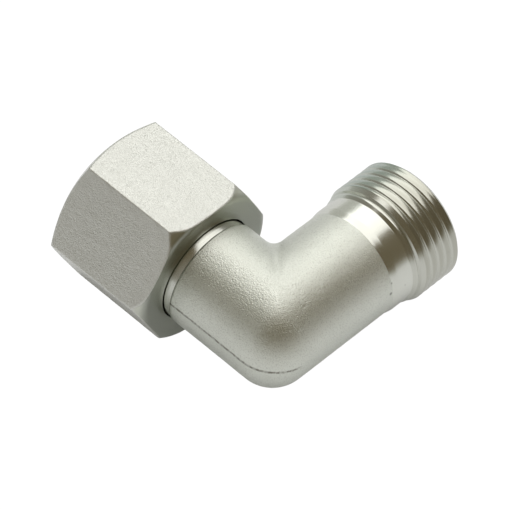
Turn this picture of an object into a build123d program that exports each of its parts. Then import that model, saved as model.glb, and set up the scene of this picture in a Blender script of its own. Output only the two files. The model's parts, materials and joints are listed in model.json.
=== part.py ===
from build123d import *
import math
import os

# Elbow adapter for a 12 mm tube: one leg ends in a male thread, the other in a captive swivel nut.
# The origin is where the centre lines of the two legs cross. The nut leg runs along -X, the
# threaded leg along +Y, and +Z stands square to both. All lengths are millimetres, and a place
# along a leg is its distance from the origin. A wall or a step is measured on the radius.

# Tube and standard connection
tube_d = 12.0
tube_fit = 0.05
thread_wall = 4.0
thread_pitch = 1.5
taper_angle = 24.0

# Forged body
forging_wall = 2.85
outer_corner_r = 6.7
inner_corner_r = 2.0

# Threaded leg
forged_to_male = 16.3
male_neck_depth = 0.92
male_face = 29.9
male_thread_run = 7.4
flare_angle = 30.0
flare_blend_r = 4.0
male_chamfer = 0.55
cone_flare = 1.15
cone_lip = 0.4
socket_stop = 7.5
tube_stop = 2.0

# Stem under the nut
forged_to_nut = 12.6
taper_shoulder = 0.25
neck_step = 1.05
collar_step = 1.1
collar_front = 18.8
nose_face = 25.4
nose_chamfer = 0.3
stem_bore_wall = 2.0
drill_past = 2.0
drill_point_angle = 118.0

# Seal ring and its groove
groove_centre = 22.8
groove_width = 2.0
groove_depth = 1.1
ring_section_r = 0.72
ring_clearance = 0.03

# Swivel nut
nut_turn = 1.2
nut_rear = 14.0
nut_mouth = 34.2
nut_wall = 2.05
rear_cone_run = 1.85
rear_cone_angle = 34.0
rear_rim_r = 1.6
mouth_cone_run = 1.8
mouth_chamfer_angle = 30.0
lip_land = 0.9
lip_clearance = 0.4
nut_float = 0.3
collar_clearance = 0.4
relief_run = 2.4
nut_mouth_bevel = 1.1
corner_overlap = 0.2

# Radii that follow from the ones above
tube_socket_r = (tube_d + tube_fit) / 2
male_bore_r = tube_d / 2 - tube_stop
stem_bore_r = tube_d / 2 - stem_bore_wall
cone_mouth_r = tube_d / 2 + cone_flare
male_thread_r = tube_d / 2 + thread_wall
male_neck_r = male_thread_r - male_neck_depth
forging_r = tube_d / 2 + forging_wall
thread_depth = 0.54127 * thread_pitch
nut_thread_r = male_thread_r - thread_depth
taper_top_r = cone_mouth_r + taper_shoulder
stem_neck_r = taper_top_r + neck_step
collar_r = stem_neck_r + collar_step
lip_r = stem_neck_r + lip_clearance
recess_r = collar_r + collar_clearance
across_flats = 2 * (recess_r + nut_wall)
corner_r = across_flats / 2 / math.cos(math.radians(30))

# Slopes: how far the radius changes for each millimetre along the leg
taper_slope = math.tan(math.radians(taper_angle / 2))
flare_slope = math.tan(math.radians(flare_angle))
drill_slope = math.tan(math.radians(drill_point_angle / 2))
rear_cone_slope = math.tan(math.radians(rear_cone_angle))
mouth_cone_slope = 1 / math.tan(math.radians(mouth_chamfer_angle))

# Places along the nut leg
seat_at_lip = nut_rear + lip_land
seat_at_recess = seat_at_lip + recess_r - lip_r
collar_at_neck = seat_at_lip + nut_float - (lip_r - stem_neck_r)
collar_at_rim = collar_at_neck + collar_r - stem_neck_r
nut_thread_start = collar_front + relief_run
nose_r = taper_top_r - (nose_face - collar_front) * taper_slope
groove_bottom_r = taper_top_r - (groove_centre - collar_front) * taper_slope - groove_depth
rear_corner_at = nut_rear + rear_cone_run
mouth_corner_at = nut_mouth - mouth_cone_run
rear_rim_at = corner_r - rear_cone_run * rear_cone_slope
mouth_rim_at = corner_r - mouth_cone_run * mouth_cone_slope

# Places along the threaded leg
male_thread_start = male_face - male_thread_run
flare_start = male_thread_start - (male_thread_r - male_neck_r) / flare_slope
cone_end = male_face - cone_lip - (cone_mouth_r - tube_socket_r) / taper_slope
socket_floor = male_face - socket_stop
socket_step = tube_socket_r - male_bore_r

# Sketch planes through a leg's centre line: the first axis runs out along the leg, the second
# is the radius from the centre line
nut_leg = Plane(origin=(0, 0, 0), x_dir=(-1, 0, 0), z_dir=(0, 1, 0))
male_leg = Plane(origin=(0, 0, 0), x_dir=(0, 1, 0), z_dir=(1, 0, 0))
nut_axis = Axis((0, 0, 0), (-1, 0, 0))
male_axis = Axis((0, 0, 0), (0, 1, 0))

# Outside of the forged corner. Both legs run on to the mitre, and an upright spindle whose
# half width shrinks towards the crown rounds the edge where they meet.
spindle = forging_r - outer_corner_r
spindle_half_height = math.sqrt(forging_r**2 - spindle**2)

with BuildPart() as outer_corner:
    with BuildSketch(Plane.YZ):
        Circle(forging_r)
    extrude(amount=2 * forging_r, both=True)
    with BuildSketch(Plane.XZ):
        Circle(forging_r)
    extrude(amount=2 * forging_r, both=True, mode=Mode.INTERSECT)
    Box(
        forging_r,
        forging_r,
        2 * forging_r,
        align=(Align.MIN, Align.MAX, Align.CENTER),
        mode=Mode.INTERSECT,
    )
    with Locations((spindle, -spindle, 0)):
        Box(
            forging_r,
            forging_r,
            2 * forging_r,
            align=(Align.MIN, Align.MAX, Align.CENTER),
            mode=Mode.SUBTRACT,
        )
    with BuildSketch(Plane(origin=(spindle, -spindle, 0), x_dir=(1, 0, 0), z_dir=(0, -1, 0))):
        with BuildLine():
            ThreePointArc((0, -spindle_half_height), (outer_corner_r, 0), (0, spindle_half_height))
            Line((0, spindle_half_height), (0, -spindle_half_height))
        make_face()
    revolve(axis=Axis((spindle, -spindle, 0), (0, 0, 1)), revolution_arc=-90)

# Elbow body: the forging with the machined stem, collar and taper at one end and the
# machined thread end at the other, drilled through from both ends
with BuildPart() as elbow_body:
    with BuildSketch(Plane.YZ):
        Circle(forging_r)
    extrude(amount=-forged_to_nut)
    with BuildSketch(Plane.XZ):
        Circle(forging_r)
    extrude(amount=-forged_to_male)
    fillet(elbow_body.edges().filter_by(GeomType.ELLIPSE), inner_corner_r)
    add(outer_corner.part)

    with BuildSketch(nut_leg):
        with BuildLine():
            Polyline(
                (forged_to_nut, 0),
                (forged_to_nut, stem_neck_r),
                (collar_at_neck, stem_neck_r),
                (collar_at_rim, collar_r),
                (collar_front, collar_r),
                (collar_front, taper_top_r),
                (nose_face - nose_chamfer, nose_r + nose_chamfer * taper_slope),
                (nose_face, nose_r - nose_chamfer),
                (nose_face, 0),
                close=True,
            )
        make_face()
        with Locations((groove_centre, groove_bottom_r)):
            Rectangle(
                groove_width,
                taper_top_r - groove_bottom_r,
                align=(Align.CENTER, Align.MIN),
                mode=Mode.SUBTRACT,
            )
    revolve(axis=nut_axis)

    with BuildSketch(male_leg) as male_section:
        with BuildLine():
            Polyline(
                (forged_to_male, 0),
                (forged_to_male, male_neck_r),
                (flare_start, male_neck_r),
                (male_thread_start, male_thread_r),
                (male_face - male_chamfer, male_thread_r),
                (male_face, male_thread_r - male_chamfer),
                (male_face, 0),
                close=True,
            )
        make_face()
        flare_foot = male_section.vertices().sort_by_distance((flare_start, male_neck_r, 0))[0]
        fillet(flare_foot, flare_blend_r)
    revolve(axis=male_axis)

    with BuildSketch(nut_leg):
        with BuildLine():
            Polyline(
                (nose_face, 0),
                (nose_face, stem_bore_r),
                (-drill_past, stem_bore_r),
                (-drill_past - stem_bore_r / drill_slope, 0),
                close=True,
            )
        make_face()
    revolve(axis=nut_axis, mode=Mode.SUBTRACT)

    with BuildSketch(male_leg):
        with BuildLine():
            Polyline(
                (male_face, 0),
                (male_face, cone_mouth_r + cone_lip),
                (male_face - cone_lip, cone_mouth_r),
                (cone_end, tube_socket_r),
                (socket_floor, tube_socket_r),
                (socket_floor - socket_step / drill_slope, male_bore_r),
                (-drill_past, male_bore_r),
                (-drill_past - male_bore_r / drill_slope, 0),
                close=True,
            )
        make_face()
    revolve(axis=male_axis, mode=Mode.SUBTRACT)

# Seal ring: it sits on the floor of its groove and stands proud of the taper
ring_centre_r = groove_bottom_r + ring_clearance + ring_section_r

with BuildPart() as o_ring:
    with BuildSketch(nut_leg):
        with Locations((groove_centre, ring_centre_r)):
            Circle(ring_section_r)
    revolve(axis=nut_axis)

# Swivel nut: a hexagon trimmed by one turned outline, with its tail rolled in behind the
# collar of the stem. Its turn about the leg is the one at which it is shown.
hexagon_plane = Plane(origin=(-nut_rear, 0, 0), x_dir=(0, -1, 0), z_dir=(-1, 0, 0))

with BuildPart() as swivel_nut:
    with BuildSketch(hexagon_plane):
        RegularPolygon(radius=corner_r, side_count=6, rotation=nut_turn)
    extrude(amount=nut_mouth - nut_rear)

    with BuildSketch(nut_leg) as nut_section:
        with BuildLine():
            Polyline(
                (nut_rear, lip_r),
                (nut_rear, rear_rim_at),
                (rear_corner_at, corner_r),
                (rear_corner_at + corner_overlap, corner_r + corner_overlap * rear_cone_slope),
                (mouth_corner_at - corner_overlap, corner_r + corner_overlap * mouth_cone_slope),
                (nut_mouth, mouth_rim_at),
                (nut_mouth, nut_thread_r + nut_mouth_bevel),
                (nut_mouth - nut_mouth_bevel, nut_thread_r),
                (nut_thread_start, nut_thread_r),
                (nut_thread_start - (recess_r - nut_thread_r), recess_r),
                (seat_at_recess, recess_r),
                (seat_at_lip, lip_r),
                close=True,
            )
        make_face()
        rear_rim = nut_section.vertices().sort_by_distance((nut_rear, rear_rim_at, 0))[0]
        fillet(rear_rim, rear_rim_r)
    revolve(axis=nut_axis, mode=Mode.INTERSECT)

elbow_body.part.label = "elbow_body"
swivel_nut.part.label = "swivel_nut"
o_ring.part.label = "o_ring"

os.makedirs("parts", exist_ok=True)
export_step(elbow_body.part, "parts/elbow_body.step")
export_step(swivel_nut.part, "parts/swivel_nut.step")
export_step(o_ring.part, "parts/o_ring.step")
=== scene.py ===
import json
import math

import bpy
import numpy as np
from mathutils import Matrix, Vector


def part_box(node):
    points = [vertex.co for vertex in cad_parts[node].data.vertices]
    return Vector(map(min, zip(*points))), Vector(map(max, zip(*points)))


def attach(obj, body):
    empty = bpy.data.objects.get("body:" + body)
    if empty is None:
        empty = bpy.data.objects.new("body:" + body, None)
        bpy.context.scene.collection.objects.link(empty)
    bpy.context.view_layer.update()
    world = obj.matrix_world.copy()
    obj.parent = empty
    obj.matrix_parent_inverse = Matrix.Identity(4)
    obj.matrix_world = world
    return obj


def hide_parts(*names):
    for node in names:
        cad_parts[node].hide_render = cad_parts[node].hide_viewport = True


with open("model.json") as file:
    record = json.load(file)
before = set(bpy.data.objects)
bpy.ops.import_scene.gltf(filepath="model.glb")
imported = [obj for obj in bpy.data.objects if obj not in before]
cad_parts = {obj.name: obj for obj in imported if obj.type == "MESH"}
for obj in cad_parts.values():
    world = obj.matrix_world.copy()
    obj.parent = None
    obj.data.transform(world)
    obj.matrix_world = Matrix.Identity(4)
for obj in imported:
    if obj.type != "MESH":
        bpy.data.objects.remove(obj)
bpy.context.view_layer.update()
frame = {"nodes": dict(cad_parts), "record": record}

# The elbow adapter dressed for a close-up: a blasted forging with turned ends, a captive hexagon
# nut and its seal ring. Sizes below are millimetres, and a place along a leg is its distance from
# the crossing of the two centre lines. The mesh itself is in metres.
MM = 0.001

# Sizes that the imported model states
record = frame["record"]
male_mount = next(m for m in record["mounts"] if m["name"] == "male_thread")
body_low, body_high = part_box("elbow_body")
nut_low, nut_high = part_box("swivel_nut")
thread_r = male_mount["dims"]["r_mm"]
male_face = body_high.y / MM
nose_face = -body_low.x / MM
nut_rear = -nut_high.x / MM
nut_mouth = -nut_low.x / MM

# Forged corner
forging_r = 8.85
outer_corner_r = 6.7
inner_corner_r = 2.0
forged_to_nut = 12.6
forged_to_male = 16.3
mould_line_height = 0.3
mould_line_wander = 0.3
mould_line_half_width = 0.09
mould_line_fade = 0.3

# Threaded leg
thread_pitch = 1.5
thread_depth = 0.54127 * thread_pitch
male_neck_r = thread_r - 0.92
flare_foot = male_face - 9.5
flare_rise = male_face - 8.08
neck_run_in = 1.3
ridge_shoulder_height = 0.33
ridge_height = 0.37
run_out_height = 0.13
thread_foot_height = 0.56
thread_start = male_face - 7.3
thread_ring_step = 0.06
male_groove_depth = 0.2
male_crest_crown = 0.06
male_chamfer = 0.55
cone_mouth_r = 7.15
cone_lip = 0.4
taper_slope = math.tan(math.radians(12.0))
drill_slope = math.tan(math.radians(59.0))
socket_r = 6.025
socket_floor = male_face - 7.5
bore_r = 4.0
drill_past = 2.0

# Stem under the nut
stem_neck_r = 8.45
stem_cone_height = 0.17
stem_cone_foot = 0.05
collar_r = 9.55
collar_front = 18.8
taper_top_r = 7.4
groove_centre = 22.8
groove_half = 1.0
groove_bottom_r = 5.451
nose_chamfer = 0.3

# Nut
nut_turn = math.radians(1.2)
nut_half_flats = 12.0
nut_corner_r = nut_half_flats / math.cos(math.pi / 6)
nut_edge_r = 0.25
lip_r = 8.85
lip_land = 0.9
nut_float = 0.3
recess_r = 9.95
relief_run = 2.4
rear_cone_run = 1.85
rear_cone_slope = math.tan(math.radians(34.0))
rear_rim_r = 1.6
mouth_cone_run = 1.8
mouth_cone_slope = 1 / math.tan(math.radians(30.0))
nut_mouth_bevel = 1.1
nut_thread_r = thread_r - thread_depth

# How finely the pieces are cut up, and the softened width of turned edges
columns = 240
flat_columns = 58
grain_step = 0.33
edge_r = 0.06

# Grain that blasting leaves, as the size of a grain and its height
elbow_grain = 1.1
elbow_grain_height = 0.035
nut_grain = 0.5
nut_grain_height = 0.045

# The nick and the pits beside the step between forging and neck, painted as dark spots of shade:
# place and reach
shaded_pits = [
    ((8.72, 15.95, 1.45), 0.34),
    ((8.3, 16.35, 3.15), 0.2),
    ((8.98, 18.8, 1.36), 0.14),
]

# Camera, found from the outline of the object
camera_azimuth = math.radians(38.9952)
camera_elevation = math.radians(49.8923)
camera_roll = math.radians(6.5999)
camera_distance = 677.2
camera_right = -2.6058
camera_up = 9.9494
camera_lens = 325.96

# Softbox: its height over the object in metres, and how bright its face is
softbox_height = 0.9
softbox_radiance = 1.27


class Sock:
    """A node's output on which sums are written as plain Python."""

    def __init__(self, net, link):
        self.net = net
        self.link = link

    def __add__(self, other):
        return self.net.sum("ADD", self, other)

    def __radd__(self, other):
        return self.net.sum("ADD", other, self)

    def __sub__(self, other):
        return self.net.sum("SUBTRACT", self, other)

    def __rsub__(self, other):
        return self.net.sum("SUBTRACT", other, self)

    def __mul__(self, other):
        return self.net.sum("MULTIPLY", self, other)

    def __truediv__(self, other):
        return self.net.sum("DIVIDE", self, other)

    def __rtruediv__(self, other):
        return self.net.sum("DIVIDE", other, self)

    def __pow__(self, other):
        return self.net.sum("POWER", self, other)

    def __neg__(self):
        return self.net.sum("MULTIPLY", self, -1.0)


class Net:
    """Adds nodes to one tree, for a shader or for geometry."""

    def __init__(self, tree):
        self.tree = tree
        self.tree.nodes.clear()

    def node(self, kind, settings=None, inputs=None):
        made = self.tree.nodes.new(kind)
        for name, value in (settings or {}).items():
            setattr(made, name, value)
        for key, value in (inputs or {}).items():
            if isinstance(value, Sock):
                self.tree.links.new(value.link, made.inputs[key])
            else:
                made.inputs[key].default_value = value
        return made

    def out(self, kind, settings=None, inputs=None, output=0):
        return Sock(self, self.node(kind, settings, inputs).outputs[output])

    def sum(self, operation, *values):
        return self.out("ShaderNodeMath", {"operation": operation}, dict(enumerate(values)))

    def vector(self, operation, *values, output=0):
        settings = {"operation": operation}
        return self.out("ShaderNodeVectorMath", settings, dict(enumerate(values)), output)

    def dot(self, a, b):
        return self.vector("DOT_PRODUCT", a, b, output="Value")

    def ramp(self, value, low, high, from_low=0.0, from_high=1.0):
        """A smooth step of value from low to high."""
        settings = {"interpolation_type": "SMOOTHSTEP"}
        inputs = {"Value": value, 1: low, 2: high, 3: from_low, 4: from_high}
        return self.out("ShaderNodeMapRange", settings, inputs)

    def mix_colour(self, factor, a, b):
        settings = {"data_type": "RGBA"}
        return self.out("ShaderNodeMix", settings, {"Factor": factor, 6: a, 7: b}, output=2)

    def noise(self, vector, scale, detail=2.0, roughness=0.5):
        inputs = {"Vector": vector, "Scale": scale, "Detail": detail, "Roughness": roughness}
        return self.out("ShaderNodeTexNoise", {}, inputs)


def grey(value):
    return (value, value, value, 1.0)


# Turned outlines: a list of (place along the leg, radius) whose corners are softened and whose
# straight runs are cut into short steps


def softened(points, edge):
    """The outline with each inner corner cut by two short chords."""
    made = [np.array(points[0], float)]
    for before, here, after in zip(points, points[1:], points[2:]):
        here = np.array(here, float)
        back = np.array(before, float) - here
        ahead = np.array(after, float) - here
        reach = min(edge, 0.4 * np.linalg.norm(back), 0.4 * np.linalg.norm(ahead))
        start = here + back / np.linalg.norm(back) * reach
        end = here + ahead / np.linalg.norm(ahead) * reach
        made += [start, 0.25 * start + 0.5 * here + 0.25 * end, end]
    made.append(np.array(points[-1], float))
    return made


def stepped(points, longest):
    """The outline with no run longer than longest."""
    made = [points[0]]
    for a, b in zip(points, points[1:]):
        steps = max(1, math.ceil(np.linalg.norm(b - a) / longest))
        made += [a + (b - a) * (i + 1) / steps for i in range(steps)]
    return np.array(made)


# Forged corner: the distance of its skin from a leg's centre line. The turn is measured about
# the leg from the inner side of the corner, so both legs share one rule and meet on the mitre.


def bisected(low, high, outside, rounds=40):
    """Where outside(x) turns true between low and high."""
    low = np.array(low, float)
    high = np.array(high, float)
    for _ in range(rounds):
        middle = (low + high) / 2
        beyond = outside(middle)
        high = np.where(beyond, middle, high)
        low = np.where(beyond, low, middle)
    return (low + high) / 2


spindle = forging_r - outer_corner_r
ball_track_r = forging_r + inner_corner_r


def mitre_place(turn):
    """How far along the leg its skin meets the mitre plane."""
    c = np.cos(turn)
    lift = np.abs(np.tan(turn))

    def past_crown(reach):
        height = np.minimum(reach * lift, forging_r)
        width = np.sqrt(forging_r**2 - height**2)
        return reach - spindle > (width - spindle) / math.sqrt(2)

    plain = forging_r * np.abs(c)
    crown = bisected(np.zeros_like(turn), plain, past_crown)
    outer = -np.where(plain > spindle, crown, plain)

    u = np.linspace(0, math.pi / 2, 2001)
    slant = np.sqrt(np.cos(u) ** 2 + 2 * np.sin(u) ** 2)
    along = ball_track_r * np.cos(u) - inner_corner_r * np.cos(u) / slant / math.sqrt(2)
    height = ball_track_r * np.sin(u) - inner_corner_r * math.sqrt(2) * np.sin(u) / slant
    inner = np.interp(np.abs(turn), np.arctan2(height, along), along)
    return np.where(c > 0, inner, outer)


def crown_radius(along, turn):
    """The skin on the outer side of the corner, where both legs round off together."""

    def outside(r):
        side = r * np.cos(turn)
        height = np.minimum(np.abs(r * np.sin(turn)), forging_r)
        width = np.sqrt(forging_r**2 - height**2)
        return (-along - spindle) ** 2 + (side + spindle) ** 2 > (width - spindle) ** 2

    return bisected(np.zeros_like(turn), np.full_like(turn, forging_r), outside)


def throat_radius(along, turn):
    """The skin of the rounded inner corner, left by a ball that touches both legs."""
    u = np.linspace(-math.pi / 2, math.pi / 2, 721)
    track = np.stack([-np.cos(u), np.cos(u), np.sin(u)], 1) * ball_track_r

    def outside(r):
        place = np.stack([-along, r * np.cos(turn), r * np.sin(turn)], 1)
        gap = np.linalg.norm(place[:, None, :] - track[None], axis=2).min(1)
        return gap < inner_corner_r

    reach = np.maximum(along / np.cos(turn), forging_r)
    return bisected(np.full_like(turn, forging_r), reach, outside, 24)


def forging_radius(along, turn):
    """The skin of the forging at a place along a leg, for each turn."""
    radius = np.full_like(turn, forging_r)
    on_crown = (np.cos(turn) < 0) & (-along > spindle)
    in_throat = (np.cos(turn) > 1e-6) & (along < ball_track_r * np.cos(turn))
    if on_crown.any():
        radius[on_crown] = crown_radius(along[on_crown], turn[on_crown])
    if in_throat.any():
        radius[in_throat] = throat_radius(along[in_throat], turn[in_throat])
    return radius


def bore_mitre_place(turn):
    """How far along the leg its drilled bore meets the mitre plane."""
    c = np.cos(turn)
    tip = drill_past + bore_r / drill_slope
    cone = c * drill_slope * tip / (1 - drill_slope * c)
    return np.where(bore_r * c >= -drill_past, bore_r * c, cone)


def bore_radius(along):
    tip = drill_past + bore_r / drill_slope
    return np.clip((along + tip) * drill_slope, 0.0, bore_r)


# Meshes made of rings: every ring has one point for each turn, and neighbouring rings are joined


class Rings:
    """Collects rings of points with a number on each point for grain and for thread."""

    def __init__(self):
        self.points = []
        self.blast = []
        self.cut = []

    def add(self, ring, blast=0.0, cut=0.0):
        self.points.append(ring)
        self.blast.append(np.broadcast_to(np.asarray(blast, float), len(ring)).copy())
        self.cut.append(np.broadcast_to(np.asarray(cut, float), len(ring)).copy())

    def mesh(self, name):
        """One closed mesh: the last ring is joined to the first."""
        rows = len(self.points)
        count = len(self.points[0])
        vertices = np.concatenate(self.points) * MM
        row = np.arange(rows)[:, None]
        column = np.arange(count)[None]
        a = row * count + column
        b = row * count + (column + 1) % count
        c = (row + 1) % rows * count + (column + 1) % count
        d = (row + 1) % rows * count + column
        faces = np.stack([a, b, c, d], 2).reshape(-1, 4)
        data = bpy.data.meshes.new(name)
        data.from_pydata(vertices.tolist(), [], faces.tolist())
        for label, values in (("blast", self.blast), ("thread_cut", self.cut)):
            numbers = data.attributes.new(label, "FLOAT", "POINT")
            numbers.data.foreach_set("value", np.concatenate(values).astype(np.float32))
        data.update()
        return facing_out(data)


def facing_out(data):
    """Turns the faces round if the closed mesh is inside out."""
    data.calc_loop_triangles()
    count = len(data.loop_triangles)
    index = np.zeros(count * 3, np.int32)
    data.loop_triangles.foreach_get("vertices", index)
    place = np.zeros(len(data.vertices) * 3, np.float32)
    data.vertices.foreach_get("co", place)
    corner = place.reshape(-1, 3).astype(float)[index.reshape(-1, 3)]
    volume = np.einsum("ij,ij->i", corner[:, 0], np.cross(corner[:, 1], corner[:, 2])).sum()
    if volume < 0:
        data.flip_normals()
    data.polygons.foreach_set("use_smooth", np.ones(len(data.polygons), bool))
    return data


def leg_ring(leg, along, radius, turn):
    """A ring about one leg, with its turn measured from the inner side of the corner."""
    side = radius * np.cos(turn)
    height = radius * np.sin(turn)
    along = np.broadcast_to(along, turn.shape)
    if leg == "nut":
        return np.stack([-along, side, height], 1)
    return np.stack([-side, along, height], 1)


def spaced(start, end, steps):
    return [start + (end - start) * i / steps for i in range(steps)]


def forging_rings(rings, leg, turn, ends):
    """The blasted skin of one leg, between two places given for each turn."""
    start, end = ends
    longest = np.abs(end - start).max()
    steps = math.ceil(longest / grain_step)
    for along in spaced(start, end, steps):
        radius = forging_radius(along, turn)
        edge = np.abs(along - (forged_to_nut if leg == "nut" else forged_to_male))
        blast = np.clip(edge / 0.5, 0.0, 1.0)
        rings.add(leg_ring(leg, along, radius, turn), blast=blast)


def turned_rings(rings, leg, turn, outline, longest, cut=None):
    for along, radius in stepped(softened(outline, edge_r), longest):
        depth = cut(along) if cut else 0.0
        rings.add(leg_ring(leg, along, np.full_like(turn, radius), turn), cut=depth)


def neck_outline():
    """The turned neck of the threaded leg."""
    return [
        (forged_to_male, forging_r),
        (forged_to_male + neck_run_in, male_neck_r),
        (flare_foot - 0.3, male_neck_r),
    ]


def flare_outline():
    """The flare after the neck: a low ridge, the run-out groove and the rise to the thread."""
    return [
        (flare_foot - 0.2, male_neck_r),
        (flare_foot, male_neck_r),
        (flare_foot + 0.55, male_neck_r + ridge_shoulder_height),
        (flare_foot + 0.85, male_neck_r + ridge_height),
        (flare_foot + 1.1, male_neck_r + run_out_height),
        (flare_rise, male_neck_r + thread_foot_height),
    ]


def thread_share(along):
    """How much of its full depth the male thread has at a place along the leg."""
    run_in = np.clip((along - thread_start) / 0.5, 0.0, 1.0)
    run_out = np.clip((male_face - 0.8 - along) / 0.3, 0.0, 1.0)
    return run_in * run_out


def elbow_rings():
    """The whole elbow body as one closed loop of rings, from the shoulder round to the bore."""
    turn = np.linspace(0, 2 * math.pi, columns, endpoint=False)
    rings = Rings()
    corner = mitre_place(np.minimum(turn, 2 * math.pi - turn))
    forging_rings(rings, "nut", turn, (np.full_like(turn, forged_to_nut), corner))
    forging_rings(rings, "male", turn, (corner, np.full_like(turn, forged_to_male)))

    turned_rings(rings, "male", turn, neck_outline(), 0.6)
    turned_rings(rings, "male", turn, flare_outline(), 0.08)
    tip = male_face - male_chamfer
    thread_line = [
        np.array((flare_rise + 0.03, male_neck_r + thread_foot_height + 0.01)),
        np.array((thread_start, thread_r)),
        np.array((tip, thread_r)),
    ]
    for along, radius in stepped(thread_line, thread_ring_step):
        circle = leg_ring("male", along, np.full_like(turn, radius), turn)
        rings.add(circle, cut=thread_share(along))
    socket = socket_outline(tip)
    turned_rings(rings, "male", turn, socket, 1.2)
    bore_end = socket[-1][0]
    bore_corner = bore_mitre_place(turn)
    for along in spaced(np.full_like(turn, bore_end - 0.2), bore_corner, 14):
        rings.add(leg_ring("male", along, bore_radius(along), turn))
    stem_end = nose_face - nose_chamfer - 0.5
    for along in spaced(bore_corner, np.full_like(turn, stem_end), 14):
        rings.add(leg_ring("nut", along, bore_radius(along), turn))

    turned_rings(rings, "nut", turn, stem_outline(stem_end), 1.2)
    return rings


def socket_outline(tip):
    """The threaded end from the tip of its thread over its face and cone down into the bore."""
    bore_start = socket_floor - (socket_r - bore_r) / drill_slope
    return [
        (tip + 0.01, thread_r - 0.01),
        (male_face, thread_r - male_chamfer),
        (male_face, cone_mouth_r + cone_lip),
        (male_face - cone_lip, cone_mouth_r),
        (male_face - cone_lip - (cone_mouth_r - socket_r) / taper_slope, socket_r),
        (socket_floor, socket_r),
        (bore_start, bore_r),
        (bore_start - 0.5, bore_r),
    ]


def stem_outline(stem_end):
    """The stem from its bore over the nose, the seal groove and the collar to the shoulder."""
    collar_seat = nut_rear + lip_land + nut_float - (lip_r - stem_neck_r)
    collar_rim = collar_seat + collar_r - stem_neck_r

    def taper(place):
        return taper_top_r - (place - collar_front) * taper_slope

    return [
        (stem_end, bore_r),
        (nose_face, bore_r),
        (nose_face, taper(nose_face) - nose_chamfer),
        (nose_face - nose_chamfer, taper(nose_face - nose_chamfer)),
        (groove_centre + groove_half, taper(groove_centre + groove_half)),
        (groove_centre + groove_half, groove_bottom_r),
        (groove_centre - groove_half, groove_bottom_r),
        (groove_centre - groove_half, taper(groove_centre - groove_half)),
        (collar_front, taper_top_r),
        (collar_front, collar_r),
        (collar_rim, collar_r),
        (collar_seat + stem_cone_height, stem_neck_r + stem_cone_height),
        (nut_rear - 0.1, stem_neck_r + stem_cone_height),
        (nut_rear - 0.7, stem_neck_r + stem_cone_foot),
        (forged_to_nut + 0.25, stem_neck_r - 0.02),
        (forged_to_nut, stem_neck_r - 0.02),
        (forged_to_nut, forging_r - edge_r),
    ]


# Nut


def nut_turns():
    """Turns about the nut, dense at the six corners so that their edges stay crisp."""
    reach = nut_half_flats - nut_edge_r
    corner = math.atan2(nut_edge_r * 0.5, reach / math.cos(math.pi / 6) + nut_edge_r * 0.866)
    near = np.linspace(-corner, corner, 7)
    across = np.linspace(corner, math.pi / 3 - corner, flat_columns + 1)[1:-1]
    side = np.concatenate([near, across])
    return np.concatenate([nut_turn + side + math.pi / 3 * k for k in range(6)])


def hexagon_radius(turn):
    """The hexagon's outline, with its six corners slightly rounded."""
    off = (turn - nut_turn + math.pi / 6) % (math.pi / 3) - math.pi / 6
    flat = nut_half_flats / np.cos(math.pi / 6 - np.abs(off))
    centre = (nut_half_flats - nut_edge_r) / math.cos(math.pi / 6)
    inside = np.clip(nut_edge_r**2 - (centre * np.sin(off)) ** 2, 0.0, None)
    rounded = centre * np.cos(off) + np.sqrt(inside)
    corner = math.atan2(nut_edge_r * 0.5, centre + nut_edge_r * 0.866)
    return np.where(np.abs(off) <= corner + 1e-9, rounded, flat)


def nut_ring(along, radius, turn):
    along = np.broadcast_to(along, turn.shape)
    radius = np.broadcast_to(radius, turn.shape)
    return np.stack([-along, -radius * np.cos(turn), radius * np.sin(turn)], 1)


def rear_edge():
    """The rolled rear rim: where its arc starts and ends, and the arc's centre."""
    rim_r = nut_corner_r - rear_cone_run * rear_cone_slope
    half = (math.pi / 2 + math.atan(rear_cone_slope)) / 2
    reach = rear_rim_r / math.tan(half)
    centre = (nut_rear + rear_rim_r, rim_r - reach)
    turned = math.pi / 2 - math.atan(rear_cone_slope)
    return centre, turned


def rear_profile(length):
    """A point on the rear rim and cone, by its distance along the outline from the rear face."""
    centre, turned = rear_edge()
    on_arc = np.minimum(length / rear_rim_r, turned)
    beyond = np.maximum(length - rear_rim_r * turned, 0.0)
    slope = math.atan(rear_cone_slope)
    along = centre[0] - rear_rim_r * np.cos(on_arc) + beyond * math.cos(slope)
    radius = centre[1] + rear_rim_r * np.sin(on_arc) + beyond * math.sin(slope)
    return along, radius


def rear_length(radius):
    """How far along that outline a radius is reached."""
    centre, turned = rear_edge()
    arc_top = centre[1] + rear_rim_r * math.sin(turned)
    on_arc = np.arcsin(np.clip((np.minimum(radius, arc_top) - centre[1]) / rear_rim_r, 0, 1))
    beyond = np.maximum(radius - arc_top, 0.0) / math.sin(math.atan(rear_cone_slope))
    return rear_rim_r * on_arc + beyond


def nut_thread_share(along):
    """How much of its full depth the nut's thread has at a place along the leg."""
    far = collar_front + relief_run
    mouth = nut_mouth - nut_mouth_bevel
    return np.clip((along - far) / 1.5, 0.0, 1.0) * np.clip((mouth + 0.3 - along) / 0.3, 0.0, 1.0)


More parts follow.
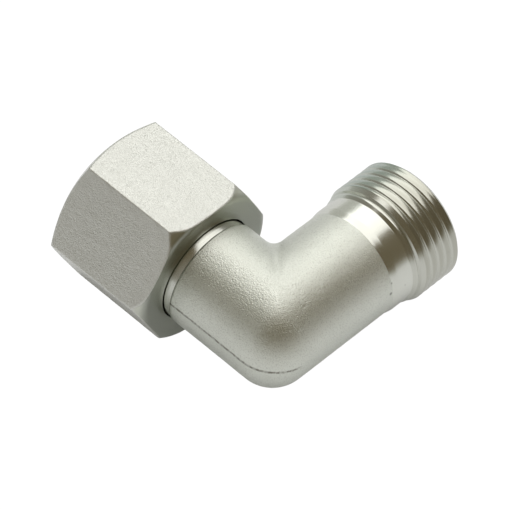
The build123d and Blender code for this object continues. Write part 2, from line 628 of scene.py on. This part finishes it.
def swivel_nut_rings():
    """The nut as one closed loop of rings, from its rear face over the flats to the bore."""
    turn = nut_turns()
    hexagon = hexagon_radius(turn)
    rings = Rings()
    rim_centre, _ = rear_edge()
    reach = rear_length(hexagon)
    for share in np.linspace(0, 1, 13)[:-1]:
        along, radius = rear_profile(reach * share)
        rings.add(nut_ring(along, radius, turn), blast=0.25 * share)
    flat_start, _ = rear_profile(reach)
    flat_end = nut_mouth - mouth_cone_run + (nut_corner_r - hexagon) / mouth_cone_slope
    steps = math.ceil((flat_end - flat_start).max() / grain_step)
    for i in range(steps + 1):
        share = i / steps
        along = flat_start + (flat_end - flat_start) * share
        rings.add(nut_ring(along, hexagon, turn), blast=1.0)
    mouth_r = nut_corner_r - mouth_cone_run * mouth_cone_slope
    for share in np.linspace(0, 1, 9)[1:]:
        along = flat_end + (nut_mouth - flat_end) * share
        radius = hexagon + (mouth_r - hexagon) * share
        rings.add(nut_ring(along, radius, turn), blast=0.8 * (1 - share) + 0.1)
    inside = [
        (nut_mouth, mouth_r - 0.02),
        (nut_mouth, nut_thread_r + nut_mouth_bevel),
        (nut_mouth - nut_mouth_bevel, nut_thread_r),
    ]
    for along, radius in stepped(softened(inside, edge_r), 0.3):
        rings.add(nut_ring(along, radius, turn))
    thread_far = collar_front + relief_run
    bore = [
        np.array((nut_mouth - nut_mouth_bevel - 0.1, nut_thread_r)),
        np.array((thread_far, nut_thread_r)),
    ]
    for along, radius in stepped(bore, thread_pitch / 9):
        rings.add(nut_ring(along, radius, turn), cut=nut_thread_share(along))
    seat = nut_rear + lip_land
    tail = [
        (thread_far - 0.05, nut_thread_r + 0.05),
        (thread_far - (recess_r - nut_thread_r), recess_r),
        (seat + recess_r - lip_r, recess_r),
        (seat, lip_r),
        (nut_rear, lip_r),
        (nut_rear, rim_centre[1] - 0.02),
    ]
    for along, radius in stepped(softened(tail, edge_r), 1.5):
        rings.add(nut_ring(along, radius, turn))
    return rings


# Geometry Nodes: one tree cuts a screw thread into a turned surface, the other raises the grain
# that shot blasting leaves


def group(name, inputs):
    """A new tree with a geometry input and output and the named inputs."""
    tree = bpy.data.node_groups.new(name, "GeometryNodeTree")
    tree.interface.new_socket("Geometry", in_out="INPUT", socket_type="NodeSocketGeometry")
    tree.interface.new_socket("Geometry", in_out="OUTPUT", socket_type="NodeSocketGeometry")
    for label, kind, value in inputs:
        socket = tree.interface.new_socket(label, in_out="INPUT", socket_type="NodeSocket" + kind)
        if value is not None:
            socket.default_value = value
    net = Net(tree)
    start = net.node("NodeGroupInput")
    end = net.node("NodeGroupOutput")
    given = {label: Sock(net, start.outputs[label]) for label, _, _ in inputs}
    return net, start, end, given


def close_group(net, start, end, offset, material):
    """Moves every point by the offset, realizes, and sets the material."""
    geometry = Sock(net, start.outputs["Geometry"])
    moved = net.out("GeometryNodeSetPosition", {}, {"Geometry": geometry, "Offset": offset})
    real = net.out("GeometryNodeRealizeInstances", {}, {"Geometry": moved})
    done = net.out("GeometryNodeSetMaterial", {}, {"Geometry": real, "Material": material})
    net.tree.links.new(done.link, end.inputs["Geometry"])
    return net.tree


def attribute(net, name):
    return net.out("GeometryNodeInputNamedAttribute", {"data_type": "FLOAT"}, {"Name": name})


def screw_thread_tree():
    """Pushes points towards or away from an axis by the profile of a helical groove."""
    net, start, end, given = group(
        "screw_thread",
        [
            ("Axis", "Vector", None),
            ("Zero Turn", "Vector", None),
            ("Quarter Turn", "Vector", None),
            ("Pitch", "Float", thread_pitch * MM),
            ("Depth", "Float", thread_depth * MM),
            ("Crest", "Float", 0.14),
            ("Root", "Float", 0.2),
            ("Crown", "Float", 0.0),
            ("Start", "Float", 0.0),
            ("Hand", "Float", 1.0),
            ("Material", "Material", None),
        ],
    )
    place = net.out("GeometryNodeInputPosition")
    along = net.dot(place, given["Axis"])
    on_axis = net.out(
        "ShaderNodeVectorMath", {"operation": "SCALE"}, {0: given["Axis"], "Scale": along}
    )
    outward = net.vector("NORMALIZE", net.vector("SUBTRACT", place, on_axis))
    turn = net.sum(
        "ARCTAN2", net.dot(place, given["Quarter Turn"]), net.dot(place, given["Zero Turn"])
    )
    lead = along / given["Pitch"] - given["Hand"] * turn / (2 * math.pi) + given["Start"]
    from_root = net.sum("ABSOLUTE", net.sum("FRACT", lead) - 0.5) * 2
    flank = (from_root - given["Root"]) / (1 - given["Crest"] - given["Root"])
    rise = net.out("ShaderNodeClamp", {}, {"Value": flank})
    off_middle = net.sum("MINIMUM", (1 - from_root) / given["Crest"], 1.0)
    depth = (1 - rise) * given["Depth"] + off_middle**2.0 * given["Crown"]
    depth = depth * attribute(net, "thread_cut")
    offset = net.out(
        "ShaderNodeVectorMath", {"operation": "SCALE"}, {0: outward, "Scale": -depth}
    )
    return close_group(net, start, end, offset, given["Material"])


def shot_blast_tree():
    """Raises rounded grain along the normal wherever the blast attribute says so."""
    net, start, end, given = group(
        "shot_blast",
        [
            ("Grain", "Float", 0.7 * MM),
            ("Height", "Float", 0.05 * MM),
            ("Material", "Material", None),
        ],
    )
    place = net.out("GeometryNodeInputPosition")
    normal = net.out("GeometryNodeInputNormal")
    coarse = net.noise(place, 1.0 / given["Grain"], 3.0, 0.6)
    swell = net.noise(place, 0.25 / given["Grain"], 1.0, 0.5)
    height = ((coarse - 0.5) + (swell - 0.5) * 0.5) * given["Height"] * 2
    lift = height * attribute(net, "blast")
    offset = net.out("ShaderNodeVectorMath", {"operation": "SCALE"}, {0: normal, "Scale": lift})
    return close_group(net, start, end, offset, given["Material"])


def apply_tree(piece, tree, values):
    """Runs a tree on a piece and keeps the result as its plain mesh."""
    modifier = piece.modifiers.new(tree.name, "NODES")
    modifier.node_group = tree
    for item in tree.interface.items_tree:
        if item.in_out == "INPUT" and item.name in values:
            modifier[item.identifier] = values[item.name]
    graph = bpy.context.evaluated_depsgraph_get()
    plain = bpy.data.meshes.new_from_object(piece.evaluated_get(graph))
    piece.modifiers.remove(modifier)
    piece.data = plain


# Finishes


def new_material(name):
    material = bpy.data.materials.new(name)
    material.use_nodes = True
    return material, Net(material.node_tree)


def zinc(net, colour, roughness, normal=None, metallic=1.0):
    inputs = {"Base Color": colour, "Roughness": roughness, "Metallic": metallic}
    if normal is not None:
        inputs["Normal"] = normal
    shader = net.out("ShaderNodeBsdfPrincipled", {}, inputs)
    net.node("ShaderNodeOutputMaterial", {}, {"Surface": shader})


def blasted_grain(net, place, grain):
    """Fine bumps and a few craters of shot-blasted metal, on a scale of millimetres."""
    fine = net.noise(place, 1 / (grain * MM), 3.0, 0.7)
    crater = net.out(
        "ShaderNodeTexVoronoi", {}, {"Vector": place, "Scale": 0.35 / (grain * MM)}
    )
    return fine + net.ramp(crater, 0.08, 0.26) * 0.2


def specks(net, place, size, low, high):
    """Where small dark specks lie, on a scale of millimetres."""
    return net.ramp(net.noise(place, 1 / (size * MM), 1.0, 0.5), low, high)


def spot(net, place, centre, reach):
    """A small spot about a place given in millimetres."""
    middle = tuple(value * MM for value in centre)
    away = net.vector("DISTANCE", place, middle, output="Value")
    return 1 - net.ramp(away, 0.35 * reach * MM, reach * MM)


def forging_material():
    """Zinc on the elbow body: blasted where it was forged, satin where it was turned, with
    painted shade on the thread, the mould line, the nick and the pits.
    """
    material, net = new_material("zinc_forging")
    place = net.out("ShaderNodeTexCoord", {}, {}, "Object")
    axes = net.node("ShaderNodeSeparateXYZ", {}, {"Vector": place})
    nut_way = Sock(net, axes.outputs["X"]) * (-1 / MM)
    male_way = Sock(net, axes.outputs["Y"]) * (1 / MM)
    forged = net.sum("LESS_THAN", nut_way, forged_to_nut + 0.02) * net.sum(
        "LESS_THAN", male_way, forged_to_male + 0.02
    )
    grain = blasted_grain(net, place, 0.22)
    patch = net.noise(place, 0.25 / MM, 3.0, 0.6)
    blasted = net.mix_colour(patch, (0.75, 0.77, 0.69, 1), (0.83, 0.85, 0.77, 1))
    turned = net.mix_colour(patch, (0.70, 0.71, 0.64, 1), (0.77, 0.78, 0.71, 1))
    colour = net.mix_colour(forged, turned, blasted)
    height = Sock(net, axes.outputs["Z"]) * (1 / MM)
    across = Sock(net, axes.outputs["X"]) * (1 / MM)
    radius = net.sum("SQRT", height * height + across * across)
    # Painted shade: the thread crests get a darker colour, greener on the half facing the nut
    # leg, for the shade deep in the real thread's grooves, which the shallow modelled groove does
    # not cast. Everything past the flare's foot takes 40 % of that colour.
    painted_thread_shade = net.ramp(radius, thread_r - 0.1, thread_r - 0.01) * net.ramp(
        male_way, flare_rise, thread_start
    )
    beyond_neck = net.ramp(male_way, flare_foot, flare_foot + 0.1) * 0.4
    painted_thread_shade = net.sum("MAXIMUM", painted_thread_shade, beyond_neck)
    green = net.ramp(-across, 0.5, 5.0)
    painted_thread_shade_colour = net.mix_colour(green, (0.52, 0.52, 0.45, 1), (0.44, 0.50, 0.44, 1))
    colour = net.mix_colour(painted_thread_shade, colour, painted_thread_shade_colour)
    dots = specks(net, place, 0.17, 0.5, 0.75) * forged * 0.45
    colour = net.mix_colour(dots, colour, (0.34, 0.34, 0.29, 1))
    # Painted shade: the mould line on the outer side of the corner is drawn as a dark, wandering,
    # broken line, for the shade of its thin groove, which the mesh does not have.
    outer = net.ramp(-male_way, 2.6, 4.6) * forged
    wander = net.noise(place, 0.9 / MM, 3.0) * mould_line_wander
    off_line = net.sum("ABSOLUTE", height - mould_line_height - wander)
    mould_line_shade = 1 - net.ramp(off_line, mould_line_half_width, mould_line_fade)
    mould_line_shade = mould_line_shade * outer * (0.35 + specks(net, place, 0.35, 0.35, 0.6) * 0.6)
    colour = net.mix_colour(mould_line_shade, colour, (0.2, 0.19, 0.15, 1))
    # Painted shade: a dark spot at each nick and pit, for the shade inside hollows that the mesh
    # does not have.
    for centre, reach in shaded_pits:
        pit_shade = spot(net, place, centre, reach) * 0.8
        colour = net.mix_colour(pit_shade, colour, (0.14, 0.13, 0.1, 1))
    roughness = 0.2 + patch * 0.04 + forged * 0.08
    bump = net.out(
        "ShaderNodeBump",
        {},
        {"Strength": 1.0, "Distance": 0.1 * MM, "Height": grain * forged},
    )
    zinc(net, colour, roughness, bump)
    return material


def nut_material():
    """Zinc on the nut: fine grain on its flats, a duller, smoother rolled tail, and painted shade
    darkening the rear face.
    """
    material, net = new_material("zinc_nut")
    place = net.out("ShaderNodeTexCoord", {}, {}, "Object")
    axes = net.node("ShaderNodeSeparateXYZ", {}, {"Vector": place})
    x_way, y_way, z_way = (Sock(net, axes.outputs[name]) * (1 / MM) for name in "XYZ")
    reaches = []
    for k in range(3):
        flat_turn = nut_turn + math.pi / 6 + k * math.pi / 3
        reach = y_way * -math.cos(flat_turn) + z_way * math.sin(flat_turn)
        reaches.append(net.sum("ABSOLUTE", reach))
    reach = net.sum("MAXIMUM", net.sum("MAXIMUM", reaches[0], reaches[1]), reaches[2])
    flat = net.ramp(reach, nut_half_flats - 0.2, nut_half_flats - 0.05)
    tail = (1 - flat) * net.ramp(x_way, -nut_rear - 1.7, -nut_rear - 1.0)
    face = net.ramp(x_way, -nut_rear - 0.9, -nut_rear - 0.1)
    grain = blasted_grain(net, place, 0.2) * (1 - tail * 0.7)
    patch = net.noise(place, 0.25 / MM, 3.0, 0.6)
    colour = net.mix_colour(patch, (0.73, 0.735, 0.68, 1), (0.81, 0.815, 0.76, 1))
    dots = specks(net, place, 0.2, 0.4, 0.75) * 0.3 * (1 - tail)
    colour = net.mix_colour(dots, colour, (0.46, 0.46, 0.42, 1))
    # The rolled tail's duller tone is its own. The much darker rear face is painted shade, for
    # the elbow's shadow and the shaded floor that the face reflects.
    rim_tone_and_face_shade = net.mix_colour(face, (0.62, 0.64, 0.54, 1), (0.38, 0.40, 0.34, 1))
    colour = net.mix_colour(tail * 0.8, colour, rim_tone_and_face_shade)
    roughness = 0.26 + patch * 0.08
    bump = net.out(
        "ShaderNodeBump", {}, {"Strength": 1.0, "Distance": 0.09 * MM, "Height": grain}
    )
    zinc(net, colour, roughness, bump)
    return material


def rubber_material():
    material, net = new_material("seal_rubber")
    place = net.out("ShaderNodeTexCoord", {}, {}, "Object")
    speck = net.noise(place, 2.0 / MM, 2.0)
    colour = net.mix_colour(speck, grey(0.012), grey(0.022))
    zinc(net, colour, speck * 0.2 + 0.4, metallic=0.0)
    return material


# Pieces


def add_piece(name, data):
    piece = bpy.data.objects.new(name, data)
    bpy.context.scene.collection.objects.link(piece)
    return piece


def settle(piece, body, node):
    """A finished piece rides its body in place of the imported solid."""
    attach(piece, body)
    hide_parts(node)


def make_elbow(thread_tree, blast_tree):
    piece = add_piece("forged_elbow", elbow_rings().mesh("forged_elbow"))
    finish = forging_material()
    apply_tree(
        piece,
        thread_tree,
        {
            "Axis": (0.0, 1.0, 0.0),
            "Zero Turn": (0.0, 0.0, 1.0),
            "Quarter Turn": (1.0, 0.0, 0.0),
            "Pitch": thread_pitch * MM,
            "Depth": male_groove_depth * MM,
            "Crest": 0.74,
            "Root": 0.03,
            "Crown": male_crest_crown * MM,
            "Start": -0.04,
            "Hand": 1.0,
            "Material": finish,
        },
    )
    apply_tree(
        piece,
        blast_tree,
        {"Grain": elbow_grain * MM, "Height": elbow_grain_height * MM, "Material": finish},
    )
    settle(piece, "elbow", "elbow_body")


def make_nut(thread_tree, blast_tree):
    piece = add_piece("hexagon_nut", swivel_nut_rings().mesh("union_nut"))
    finish = nut_material()
    apply_tree(
        piece,
        thread_tree,
        {
            "Axis": (-1.0, 0.0, 0.0),
            "Zero Turn": (0.0, 0.0, 1.0),
            "Quarter Turn": (0.0, 1.0, 0.0),
            "Pitch": thread_pitch * MM,
            "Depth": -thread_depth * MM,
            "Crest": 0.2,
            "Root": 0.1,
            "Start": 0.0,
            "Hand": 1.0,
            "Material": finish,
        },
    )
    apply_tree(
        piece,
        blast_tree,
        {"Grain": nut_grain * MM, "Height": nut_grain_height * MM, "Material": finish},
    )
    settle(piece, "nut", "swivel_nut")


def dress_ring():
    ring = frame["nodes"]["o_ring"]
    ring.data.materials.clear()
    ring.data.materials.append(rubber_material())


# Studio


def make_camera():
    right = Vector((math.cos(camera_azimuth), math.sin(camera_azimuth), 0))
    level = Vector((-math.sin(camera_azimuth), math.cos(camera_azimuth), 0))
    forward = level * math.cos(camera_elevation) - Vector((0, 0, math.sin(camera_elevation)))
    up = right.cross(forward)
    across = right * math.cos(camera_roll) + up * math.sin(camera_roll)
    upward = up * math.cos(camera_roll) - right * math.sin(camera_roll)
    place = (across * camera_right + upward * camera_up - forward * camera_distance) * MM
    data = bpy.data.cameras.new("studio_camera")
    data.lens = camera_lens
    data.sensor_width = 36.0
    data.clip_start = 0.01
    data.clip_end = 20.0
    camera = bpy.data.objects.new("studio_camera", data)
    camera.matrix_world = Matrix.LocRotScale(
        place, Matrix((across, upward, -forward)).transposed().to_quaternion(), None
    )
    bpy.context.scene.collection.objects.link(camera)
    bpy.context.scene.camera = camera


def light_path(net, name):
    return Sock(net, net.node("ShaderNodeLightPath").outputs[name])


def emission(net, colour, strength=1.0):
    return net.out("ShaderNodeEmission", {}, {"Color": colour, "Strength": strength})


def make_floor():
    """A pale floor just under the nut: white to the camera, with a faint shadow left on it."""
    reach = 1.6
    height = nut_low.z - 0.1 * MM
    data = bpy.data.meshes.new("studio_floor")
    corners = [(x * reach, y * reach, height) for x, y in ((-1, -1), (1, -1), (1, 1), (-1, 1))]
    data.from_pydata(corners, [], [(0, 1, 2, 3)])
    floor = bpy.data.objects.new("studio_floor", data)
    bpy.context.scene.collection.objects.link(floor)
    material, net = new_material("pale_floor")
    matte = net.out("ShaderNodeBsdfDiffuse", {}, {"Color": grey(0.9)})
    to_camera = light_path(net, "Is Camera Ray") * 0.94
    to_metal = light_path(net, "Is Glossy Ray") + light_path(net, "Is Transmission Ray")
    glow = emission(net, grey(1.0), 1.08)
    pale = emission(net, grey(1.0))
    seen = net.out("ShaderNodeMixShader", {}, {0: to_metal * 0.1, 1: matte, 2: pale})
    surface = net.out("ShaderNodeMixShader", {}, {0: to_camera, 1: seen, 2: glow})
    net.node("ShaderNodeOutputMaterial", {}, {"Surface": surface})
    data.materials.append(material)


def make_softbox():
    """One broad panel overhead, set back behind the object."""
    data = bpy.data.lights.new("softbox", "AREA")
    data.shape = "RECTANGLE"
    data.size = 1.3 * softbox_height
    data.size_y = 1.8 * softbox_height
    data.energy = softbox_radiance * math.pi * data.size * data.size_y
    data.color = (0.98, 0.98, 1.0)
    softbox = bpy.data.objects.new("softbox", data)
    level = Vector((-math.sin(camera_azimuth), math.cos(camera_azimuth), 0))
    softbox.location = level * 0.8 * softbox_height + Vector((0, 0, softbox_height))
    softbox.rotation_euler = (0, 0, camera_azimuth)
    softbox.visible_camera = False
    bpy.context.scene.collection.objects.link(softbox)


def make_world():
    """White to the camera. To the metal it is a dim warm room with a paler wall at the back."""
    world = bpy.data.worlds.new("studio")
    world.use_nodes = True
    bpy.context.scene.world = world
    net = Net(world.node_tree)
    way = net.out("ShaderNodeTexCoord", {}, {}, "Generated")
    back = (-math.sin(camera_azimuth), math.cos(camera_azimuth), 0.0)
    left = (-math.cos(camera_azimuth), -math.sin(camera_azimuth), 0.0)
    up = net.dot(way, (0.0, 0.0, 1.0))
    wall = net.ramp(net.dot(way, back), 0.35, 0.85)
    window = net.ramp(net.dot(way, left), 0.3, 0.9)
    sweep = 1 - net.ramp(up, 0.02, 0.16)
    room = net.mix_colour(window, (0.15, 0.125, 0.08, 1), (0.29, 0.28, 0.25, 1))
    room = net.mix_colour(wall, room, (0.52, 0.53, 0.50, 1))
    room = net.mix_colour(sweep * (0.65 - window * 0.4), room, (0.60, 0.60, 0.56, 1))
    room = net.out("ShaderNodeBackground", {}, {"Color": room, "Strength": 1.0})
    fill = net.out("ShaderNodeBackground", {}, {"Color": grey(1.0), "Strength": 0.42})
    white = net.out("ShaderNodeBackground", {}, {"Color": grey(1.0), "Strength": 1.0})
    room = net.out(
        "ShaderNodeMixShader", {}, {0: light_path(net, "Is Diffuse Ray"), 1: room, 2: fill}
    )
    seen = light_path(net, "Is Camera Ray")
    surface = net.out("ShaderNodeMixShader", {}, {0: seen, 1: room, 2: white})
    net.node("ShaderNodeOutputWorld", {}, {"Surface": surface})


bpy.context.scene.view_settings.view_transform = "Standard"
thread_tree = screw_thread_tree()
blast_tree = shot_blast_tree()
make_elbow(thread_tree, blast_tree)
make_nut(thread_tree, blast_tree)
dress_ring()
make_camera()
make_floor()
make_softbox()
make_world()
